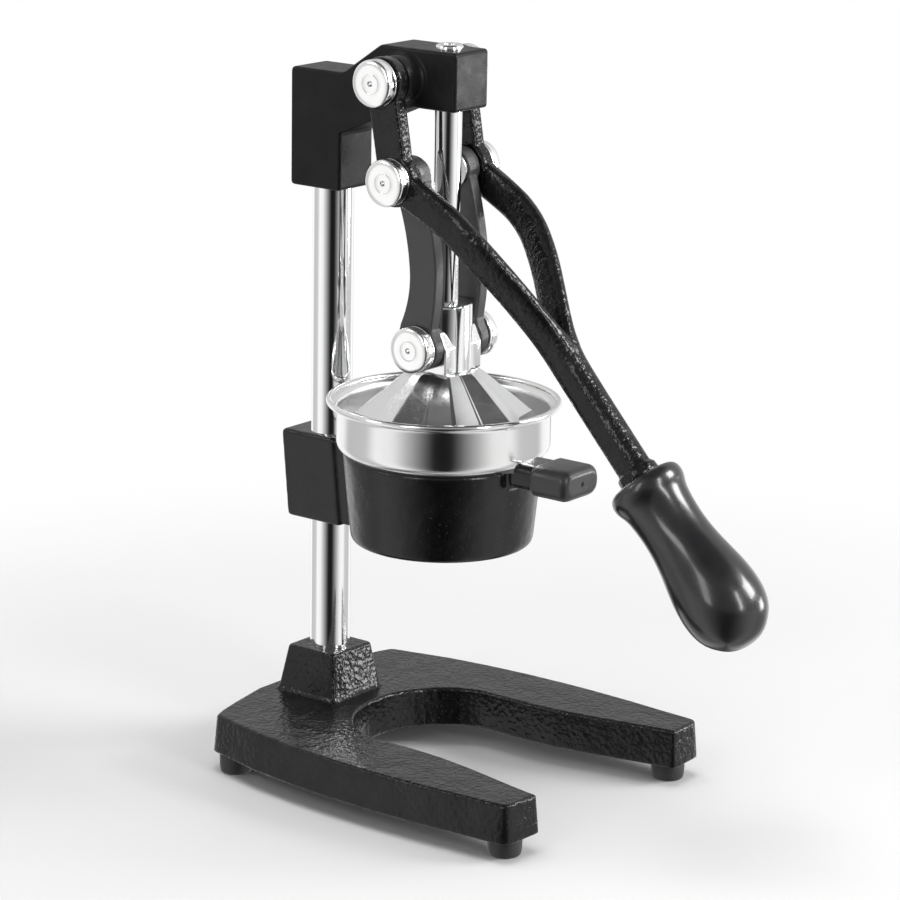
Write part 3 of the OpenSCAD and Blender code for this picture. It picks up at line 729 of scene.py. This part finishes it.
# ---- forked lever
def make_lever():
    outer = [(420, 36.5), (326, 36.5), (312, 33.6), (297.6, 27), (285.6, 20.6), (273.6, 14.5), (262, 9.8), (248, 8), (180, 8)]
    inner = [(420, 27), (328, 27), (314, 24.4), (299.4, 17.4), (287.4, 11.4), (275.6, 5.4), (266, 0), (256, -5), (248, -8), (180, -8)]

    def at(tab, z):
        for (z0, a), (z1, b) in zip(tab, tab[1:]):
            if z0 >= z >= z1:
                return a + (b - a) * (z0 - z) / (z0 - z1)
        return tab[-1][1]

    spine = [P2, (-2.6, 336.1), (-15.1, 329.3), (-28, 321.3), (-39.8, 310.3), (-51.3, 296.5), (-60.4, 283.9), (-68.8, 271.6), (-77.8, 258.6), (-89.5, 243.8)]
    end = GRIP - GDIR * 3
    yz = spline([(y, z, 0) for y, z in spine] + [(end.x, end.y, 0)], 5)
    parts = []
    mid = [(at(outer, p.y) + at(inner, p.y)) / 2 for p in yz]
    half = [(at(outer, p.y) - at(inner, p.y)) / 2 for p in yz]
    for k in range(5):
        mid = [mid[0]] + [(mid[i - 1] + 2 * mid[i] + mid[i + 1]) / 4 for i in range(1, len(yz) - 1)] + [mid[-1]]
        half = [half[0]] + [(half[i - 1] + 2 * half[i] + half[i + 1]) / 4 for i in range(1, len(yz) - 1)] + [half[-1]]
    for s in (-1, 1):
        path, a, b, ex = [], [], [], []
        for i, p in enumerate(yz):
            i1, i0 = min(i + 1, len(yz) - 1), max(i - 1, 0)
            lean = math.cos(math.atan2(mid[i1] - mid[i0], max((yz[i1] - yz[i0]).length, 1e-6)))
            path.append(dp(s * mid[i], p.x, p.y))
            a.append((half[i] - 0.05) * lean)
            b.append(9.4 + 0.5 * max(0, 1 - i / 6))
            ex.append(4.2 - 1.5 * min(i / 12, 1))
        parts.append(sweep(path, a, b, ex, 40))
        # upper bar of the fork, a plate with soft arrises
        d = (Vector(P1) - Vector(P2)).normalized()
        n = Vector((d.y, -d.x))
        lo, hi = Vector(P2) - d * 4, Vector(P1) + d * 4
        w0, w1 = 9.6, 9.9
        pl = plate([tuple(lo + n * w0), tuple(hi + n * w1), tuple(hi - n * w1), tuple(lo - n * w0)], ARM_X, ARM_XO, 1.7, 4, "x")
        parts.append(mirror_x(pl) if s < 0 else pl)
        for q, r in ((P1, 13.6), (P2, 14.2)):
            parts.append(xlathe(q, [(0, ARM_X), (r - 1.6, ARM_X), (r - 0.5, ARM_X + 0.4), (r, ARM_X + 1.4), (r, ARM_XO - 1.4), (r - 0.5, ARM_XO - 0.4), (r - 1.6, ARM_XO), (0, ARM_XO)], s, 72))
    c = lathe([(0, -7), (9.6, -7), (11.0, -6.4), (11.6, -5.2), (11.6, -0.2), (0, -0.2)], 64, GM)
    parts.append(c)
    me = cast(parts, 0.85, 5)
    cuts = []
    for s in (-1, 1):
        cuts.append(xlathe(P1, [(0, 20), (6.55, 20), (6.55, 44), (0, 44)], s))
        cuts.append(xlathe(P2, [(0, 20), (6.05, 20), (6.05, 44), (0, 44)], s))
        cuts.append(xlathe(P1, [(0, ARM_XO - 1), (14.5, ARM_XO - 1), (14.5, 44), (0, 44)], s))
    return evaluated(me, [], cuts)


GM = Matrix.Translation(dp(0, GRIP.x, GRIP.y)) @ Matrix.Rotation(math.pi / 2 + SLOPE, 4, "X")
piece("forked_lever", make_lever(), M_ARM, "lever", ["handle_fork"], 40)

# ---- grip
L = 104
gp = [(17.0, 0.0), (18.6, 0.55), (19.9, 1.7), (20.7, 3.4), (21.0, 5.4), (20.9, 7.4), (20.3, 9.8), (19.3, 12.4), (18.5, 15.5), (17.95, 20), (17.6, 25), (17.5, 30), (17.7, 36), (18.4, 43), (19.5, 50), (20.9, 57),
      (22.1, 63.5), (22.95, 70), (23.25, 76), (23.0, 81.5), (21.8, 87.5), (19.6, 92.6), (16.2, 97), (12.4, 100.5), (8.2, 102.8), (4.0, 103.8), (0, 104)]
curve = spline([(r, z, 0) for r, z in gp], 3)
prof = [(6.05, 0.8), (6.6, 0.15), (7.4, 0), (12, 0), (15.8, 0)] + [(max(p.x, 0), p.y) for p in curve]
prof[-1] = (0, 104)
bore = [(0, 62.2), (6.05, 62.2)]
piece("grip_moulding", lathe(bore + prof, 96, GM), M_GRIP, "lever", ["handle_grip"], 50).visible_glossy = False


# ---- bracket: tapered ring, clamp block, neck and knob stub in one casting
def make_bracket():
    ring = lathe([(50, RING_TOP - 0.8), (50.8, RING_TOP), (53.6, RING_TOP), (54.7, RING_TOP - 0.35), (55.25, RING_TOP - 1.3), (55.3, RING_TOP - 2.4), (51.0, RING_LOW + 4), (50.55, RING_LOW + 2), (49.8, RING_LOW + 0.6), (48.4, RING_LOW),
                  (46.2, RING_LOW), (45.4, RING_LOW + 0.8), (45.4, 161), (46.2, 162), (50, 162)], 160, UPZ, ring=True)
    bmesh.ops.transform(ring, matrix=Matrix.Translation(dp(0, 0, 0)), verts=ring.verts)
    block = plate([(p.x, p.y) for p in fillet([(60.5, 136, 0), (99.2, 136, 0), (104.1, 186.5, 0), (66, 186.5, 0)], [2, 2.4, 2.8, 2], 4)], -16, 16, 1.6, 4, "x")
    neck = plate([(44, 137), (72, 137), (75, 186.3), (47.5, 186.3)], -10.5, 10.5, 2.0, 4, "x")
    neck2 = plate([(46, 137), (66, 137), (66, 186.3), (48.5, 186.3)], -14.6, 14.6, 2.0, 4, "x")
    sec = [(x, z + 186) for x, z in [(p.x, p.y) for p in rounded_rect(13, 7.5, 6.4, 6)]]
    stub = plate(sec, -71.1, -49, 0.8, 3, "y")
    root = plate([(x * 1.25, (z - 186) * 1.05 + 185.2) for x, z in sec], -55.5, -49, 1.5, 3, "y")
    me = cast([ring, block, neck, neck2, stub, root], 0.9, 6)
    cuts = [cyl(11.55, 100, 220, Matrix.Translation(dp(0, POST_Y, 0)), 96),
            cyl(4, 0, 24, Matrix.Translation(dp(0, 86, 161)) @ Matrix.Rotation(math.radians(-90), 4, "X"), 48),
            cyl(2.6, 0, 60, Matrix.Translation(dp(0, -40, 186)) @ Matrix.Rotation(math.radians(90), 4, "X"), 32),
            cyl(49.99, 162.01, 200, Matrix.Translation(dp(0, 0, 0)), 160),
            cyl(59.55, RING_TOP + 0.06, 205, Matrix.Translation(dp(0, 0, 0)), 160)]
    return evaluated(me, [], cuts)


piece("bowl_holder", make_bracket(), M_RING, "frame", ["bowl_bracket"], 40).visible_glossy = False


def make_knob():
    loops = []
    for d, y in [(1.6, -71.1), (0.5, -71.4), (0.0, -72.4), (0, -74), (0, -90.6), (0.35, -92.1), (1.2, -93.6), (2.4, -94.6), (3.8, -95.0), (4.4, -95.0)]:
        loops.append([dp(p.x, y, p.y + 186) for p in rounded_rect(16.5 - d, 8.7 - d, min(8.1 - d * 0.6, 8.6 - d), 10)])
    bm = loft(loops)
    me = bpy.data.meshes.new("k")
    bm.to_mesh(me)
    bm.free()
    my = Matrix.Translation(dp(0, -60, 186)) @ Matrix.Rotation(math.radians(90), 4, "X")
    return evaluated(me, [], [cyl(2.1, 0, 29.2, my, 32), cyl(1.4, 20, 60, my, 32)])


piece("knob_moulding", make_knob(), M_KNOB, "frame", ["bracket_knob"], 35).visible_glossy = False


# ---- bowl with rolled rim
def make_bowl():
    B, bz, b = 63.3, 216.8, 1.7
    p = []
    # rolled bead, from the wall's outside round the top to the inside
    for t in range(-120, 201, 16):
        a = math.radians(t)
        p.append((B + b * math.cos(a), bz + b * math.sin(a)))
    inner = [(60.4, 215.7), (59.3, 214.9), (58.5, 213.8), (58.15, 212.4), (58.1, 211), (58.1, 195.4), (57.9, 193.6), (57.2, 192.2), (56.0, 191.2), (54.2, 190.5), (50.4, 189.6), (49.0, 189.1), (48.5, 188), (48.4, 186.6), (48.4, 174.2),
             (48.0, 172.9), (46.8, 172), (11.6, 154.2), (9.6, 152.9), (8.9, 151.4), (8.8, 149.8), (8.8, 140.2), (9.1, 139.7), (9.5, 139.7), (10, 140.2)]
    outer = [(10, 150), (10.2, 151.4), (11, 152.5), (12.4, 153.3), (48.2, 171.4), (49.2, 172.4), (49.6, 173.8), (49.6, 186.6), (49.9, 187.8), (50.8, 188.3), (55.7, 189.3), (57.4, 190.2), (58.6, 191.7), (59.2, 193.6), (59.3, 195.4),
             (59.3, 212), (59.5, 213.2), (60.1, 214.1), (61.1, 214.8)]
    bm = lathe(p + inner + outer, 192, Matrix.Translation(dp(0, 0, 0)), ring=True)
    return bm


piece("bowl_spun", make_bowl(), M_BOWL, "frame", ["juice_bowl"], 50)


# ---- press cone: eight folded pleats, a formed shell
def make_cone():
    N, per = 8, 16
    bm = bmesh.new()

    def radius(theta, ro, ri, soft):
        u = (theta / (math.pi / N)) % 2.0
        u = abs(u - 1.0)                       # 1 on a ridge, 0 in a valley
        # straight facet between ridge (ro, 0) and valley (ri, pi/N)
        ang = (1 - u) * math.pi / N
        x0, y0, x1, y1 = ro, 0.0, ri * math.cos(math.pi / N), ri * math.sin(math.pi / N)
        t = math.tan(ang)
        k = (y0 - t * x0) / (t * (x1 - x0) - (y1 - y0))
        x = x0 + (x1 - x0) * k
        r = x / math.cos(ang)
        cut = ro * soft * max(0.0, 1 - (1 - u) / 0.07)
        fill = ri * soft * 0.8 * max(0.0, 1 - u / 0.07)
        return r - cut + fill

    n = N * per
    angs = []
    for i in range(N * 2):
        base = i * math.pi / N
        for f in (0.0, 0.035, 0.07, 0.14, 0.3, 0.5, 0.7, 0.86, 0.93, 0.965):
            angs.append(base + f * math.pi / N)
    H = CONE_TOP - CONE_FOOT

    def row(ro, ri, z, soft=0.012):
        return [bm.verts.new(dp(radius(a, ro, ri, soft) * math.cos(a), radius(a, ro, ri, soft) * math.sin(a), z)) for a in angs]

    rows = []
    for z, k, d in [(CONE_FOOT, 1, 1.0), (CONE_FOOT - 0.0, 1, 0.3), (CONE_FOOT + 0.35, 1, 0.0)]:
        rows.append(row(50 * k - d, 43 * k - d, z + (0.0 if d else 0.0)))
    for f in (0.06, 0.2, 0.4, 0.6, 0.8, 0.93):
        k = 1 + (20 / 50 - 1) * f
        rows.append(row(50 * k, 43 * k, CONE_FOOT + H * f))
    k = 20 / 50
    rows.append(row(50 * k + 0.3, 43 * k + 0.3, CONE_TOP - 0.7))
    rows.append(row(50 * k - 0.3, 43 * k - 0.3, CONE_TOP - 0.15))
    rows.append(row(50 * k - 1.1, 43 * k - 1.1, CONE_TOP))
    flat = [bm.verts.new(dp(5.05 * math.cos(a), 5.05 * math.sin(a), CONE_TOP)) for a in angs]
    mid = [bm.verts.new(dp(12 * math.cos(a), 12 * math.sin(a), CONE_TOP)) for a in angs]
    rows += [mid, flat]
    bore = [bm.verts.new(dp(5.05 * math.cos(a), 5.05 * math.sin(a), CONE_TOP - 3.1)) for a in angs]
    ceil = [bm.verts.new(dp(12.8 * math.cos(a), 12.8 * math.sin(a), CONE_TOP - 3.1)) for a in angs]
    rows += [bore, ceil]
    for f in (0.75, 0.45, 0.15, 0.0):
        r = 39.6 + (13 - 39.6) * f
        g = 1 - f
        pr = [radius(a, r * (1 + 0.10 * g), r * (1 - 0.02 * g), 0.012) for a in angs]
        rows.append([bm.verts.new(dp(q * math.cos(a), q * math.sin(a), CONE_FOOT + (H - 3) * f)) for q, a in zip(pr, angs)])
    m = len(angs)
    for i in range(len(rows)):
        A, B = rows[i], rows[(i + 1) % len(rows)]
        for j in range(m):
            bm.faces.new((A[j], A[(j + 1) % m], B[(j + 1) % m], B[j]))
    bmesh.ops.recalc_face_normals(bm, faces=bm.faces)
    return bm


piece("fluted_press", make_cone(), M_CONE, "carriage", ["press_cone"], 12)


# ---- carriage: turned hub with two flat-sided lugs
def make_carriage():
    hub = lathe([(0, CONE_TOP), (14.4, CONE_TOP), (15, CONE_TOP + 0.6), (15, CONE_TOP + 36.2), (14.85, CONE_TOP + 36.9), (14.4, CONE_TOP + 37.4), (13.8, CONE_TOP + 37.6), (0, CONE_TOP + 37.6)], 96, Matrix.Translation(dp(0, 0, 0)))
    lug = plate([(p.x, p.y) for p in fillet([(-13, CONE_TOP, 0), (-13, 250, 0), (-9, 258.4, 0), (-3.6, 262.6, 0), (3.6, 262.6, 0), (9, 258.4, 0), (13, 250, 0), (13, CONE_TOP, 0)], [1.3, 4, 3, 3, 3, 3, 4, 1.3], 3)], -16.1, 16.1, 0.8, 3, "x")
    cuts = [cyl(7.52, CONE_TOP + 8, 300, Matrix.Translation(dp(0, 0, 0)), 96), cyl(5.05, 220, 260, Matrix.Translation(dp(0, 0, 0)), 64)]
    cuts += [xlathe(P4, [(0, 8.9), (4.05, 8.9), (4.05, 30), (0, 30)], s, 48) for s in (-1, 1)]
    return fuse([hub, lug], cuts)


piece("press_hub", make_carriage(), M_HUB, "carriage", ["press_carriage"], 30)

# ---- carried-over CAD nodes: their own materials and a small edge round
CARRIED = {
    "foot_screws": M_ZINC, "post_base_bolt": M_ZINC, "post_base_washer": M_ZINC, "head_set_screw": M_ZINC, "bracket_set_screw": M_ZINC,
    "upper_pivot_washers": M_ZINC, "lower_pivot_washers": M_ZINC, "bracket_knob_screw": M_ZINC, "cone_nut": M_ZINC,
    "link_pin_left": M_ZINC, "link_pin_right": M_ZINC, "strainer_cone": M_BOWL,
}
for n, m in CARRIED.items():
    o = NODES[n]
    o.data.materials.clear()
    o.data.materials.append(m)
    w = o.modifiers.new("weld", "WELD")
    w.merge_threshold = 0.00002
    b = o.modifiers.new("bevel", "BEVEL")
    b.width, b.segments, b.limit_method, b.angle_limit = 0.0003, 2, "ANGLE", math.radians(40)
    b.harden_normals = True


# ---------------------------------------------------------------- floor, light, background
def make_floor():
    me = bpy.data.meshes.new("floor")
    bm = bmesh.new()
    bmesh.ops.create_grid(bm, x_segments=2, y_segments=2, size=9)
    bm.to_mesh(me)
    bm.free()
    ob = bpy.data.objects.new("floor", me)
    SC.collection.objects.link(ob)
    m, nt, b = new_mat("studio_floor")
    v = mapped(nt)
    n = tex(nt, "ShaderNodeTexNoise", 3, 3, vec=v)
    r = ramp(nt, n.outputs["Fac"], [(0.3, (0.46, 0.46, 0.46)), (0.7, (0.47, 0.47, 0.47))])
    nt.links.new(r.outputs["Color"], b.inputs["Base Color"])
    b.inputs["Roughness"].default_value = 0.6
    b.inputs["Specular IOR Level"].default_value = 0.1
    # the floor runs out into plain white away from the object
    ln = nt.nodes.new("ShaderNodeVectorMath")
    ln.operation = "LENGTH"
    nt.links.new(v, ln.inputs[0])
    fade = ramp(nt, ln.outputs["Value"], [(0.28, 0.0), (0.7, 1.0)], "EASE")
    em = nt.nodes.new("ShaderNodeEmission")
    em.inputs["Color"].default_value = (1, 1, 1, 1)
    ms = nt.nodes.new("ShaderNodeMixShader")
    nt.links.new(fade.outputs["Color"], ms.inputs[0])
    nt.links.new(b.outputs[0], ms.inputs[1])
    nt.links.new(em.outputs[0], ms.inputs[2])
    nt.links.new(ms.outputs[0], nt.nodes["Material Output"].inputs["Surface"])
    me.materials.append(m)
    ob.visible_glossy = False
    return ob


make_floor()


def area(name, az, el, dist, w, h, power, target=(0, 0.05, 0.2), spread=180, col=(1, 1, 1)):
    """az is measured in XY from +X, degrees; the lamp looks at target"""
    li = bpy.data.lights.new(name, "AREA")
    li.shape, li.size, li.size_y, li.energy, li.color, li.spread = "RECTANGLE", w, h, power, col, math.radians(spread)
    ob = bpy.data.objects.new(name, li)
    SC.collection.objects.link(ob)
    a, e = math.radians(az), math.radians(el)
    d = Vector((math.cos(a) * math.cos(e), math.sin(a) * math.cos(e), math.sin(e)))
    ob.location = Vector(target) + d * dist
    ob.rotation_mode = "QUATERNION"
    ob.rotation_quaternion = (-d).to_track_quat("-Z", "Y")
    return ob


def env_ramp(nt, rel, table):
    """table of (angle from the front direction, value), from -180 to 180"""
    return ramp(nt, rel, [(0.5 + a / 360, v) for a, v in sorted(table)])


def both(half):
    return [(-a, v) for a, v in half if a > 0] + list(half)


LOW = both([(0, 0.01), (10, 0.014), (18, 0.1), (27, 0.25), (40, 0.5), (56, 0.9), (78, 1.0), (92, 0.6), (124, 0.55), (136, 1.0), (162, 1.0), (171, 0.3), (180, 0.06)])
HIGH = both([(0, 0.3), (40, 0.4), (80, 0.55), (105, 0.75), (148, 0.75), (162, 0.62), (172, 0.58), (180, 0.56)])


def make_world():
    """a studio seen in the polished parts: pale walls with darker gaps between the soft boxes"""
    w = bpy.data.worlds.new("studio")
    SC.world = w
    w.use_nodes = True
    nt = w.node_tree
    bg = nt.nodes["Background"]
    tc = nt.nodes.new("ShaderNodeTexCoord")
    sep = nt.nodes.new("ShaderNodeSeparateXYZ")
    nt.links.new(tc.outputs["Generated"], sep.inputs[0])
    at = math_node(nt, "ARCTAN2", sep.outputs["Y"], sep.outputs["X"])
    c0 = math.radians(217.4)
    rel = math_node(nt, "SUBTRACT", at, c0 - math.pi)
    rel = math_node(nt, "DIVIDE", rel, 2 * math.pi)
    rel = math_node(nt, "FRACT", rel)          # 0.5 is the front direction, 0 and 1 the back
    low, high = env_ramp(nt, rel, LOW), env_ramp(nt, rel, HIGH)

    def between(a, b, c, d, z0, z1):
        f = nt.nodes.new("ShaderNodeMapRange")
        f.interpolation_type = "SMOOTHSTEP"
        f.inputs["From Min"].default_value, f.inputs["From Max"].default_value = z0, z1
        nt.links.new(sep.outputs["Z"], f.inputs["Value"])
        mx = nt.nodes.new("ShaderNodeMix")
        mx.data_type = "RGBA"
        nt.links.new(f.outputs["Result"], mx.inputs[0])
        nt.links.new(a, mx.inputs[6])
        if b is not None:
            nt.links.new(b, mx.inputs[7])
        else:
            mx.inputs[7].default_value = (c, c, c, 1)
        return mx.outputs[2]

    c = between(low.outputs["Color"], high.outputs["Color"], None, None, -0.02, 0.16)
    c = between(c, None, 0.09, None, 0.76, 0.88)
    nt.links.new(c, bg.inputs["Color"])
    bg.inputs["Strength"].default_value = 1.15
    lp = nt.nodes.new("ShaderNodeLightPath")
    bg2 = nt.nodes.new("ShaderNodeBackground")
    bg2.inputs["Color"].default_value = (1, 1, 1, 1)
    ms = nt.nodes.new("ShaderNodeMixShader")
    nt.links.new(lp.outputs["Is Camera Ray"], ms.inputs[0])
    nt.links.new(bg.outputs[0], ms.inputs[1])
    nt.links.new(bg2.outputs[0], ms.inputs[2])
    nt.links.new(ms.outputs[0], nt.nodes["World Output"].inputs["Surface"])


make_world()
area("key_front_right", 305, 30, 2.2, 0.8, 0.8, 42)
area("top_soft", 130, 84, 2.0, 1.5, 1.5, 50).visible_glossy = False
area("front_sheen", 322, -1, 2.0, 0.5, 0.5, 11)
area("left_sheen", 143, 28, 2.0, 0.4, 0.4, 3.5)
area("strip_left", 185, 22, 1.8, 0.35, 1.0, 6)
area("strip_front", 259, 22, 1.8, 0.22, 1.0, 10)

SC.view_settings.view_transform = "Standard"
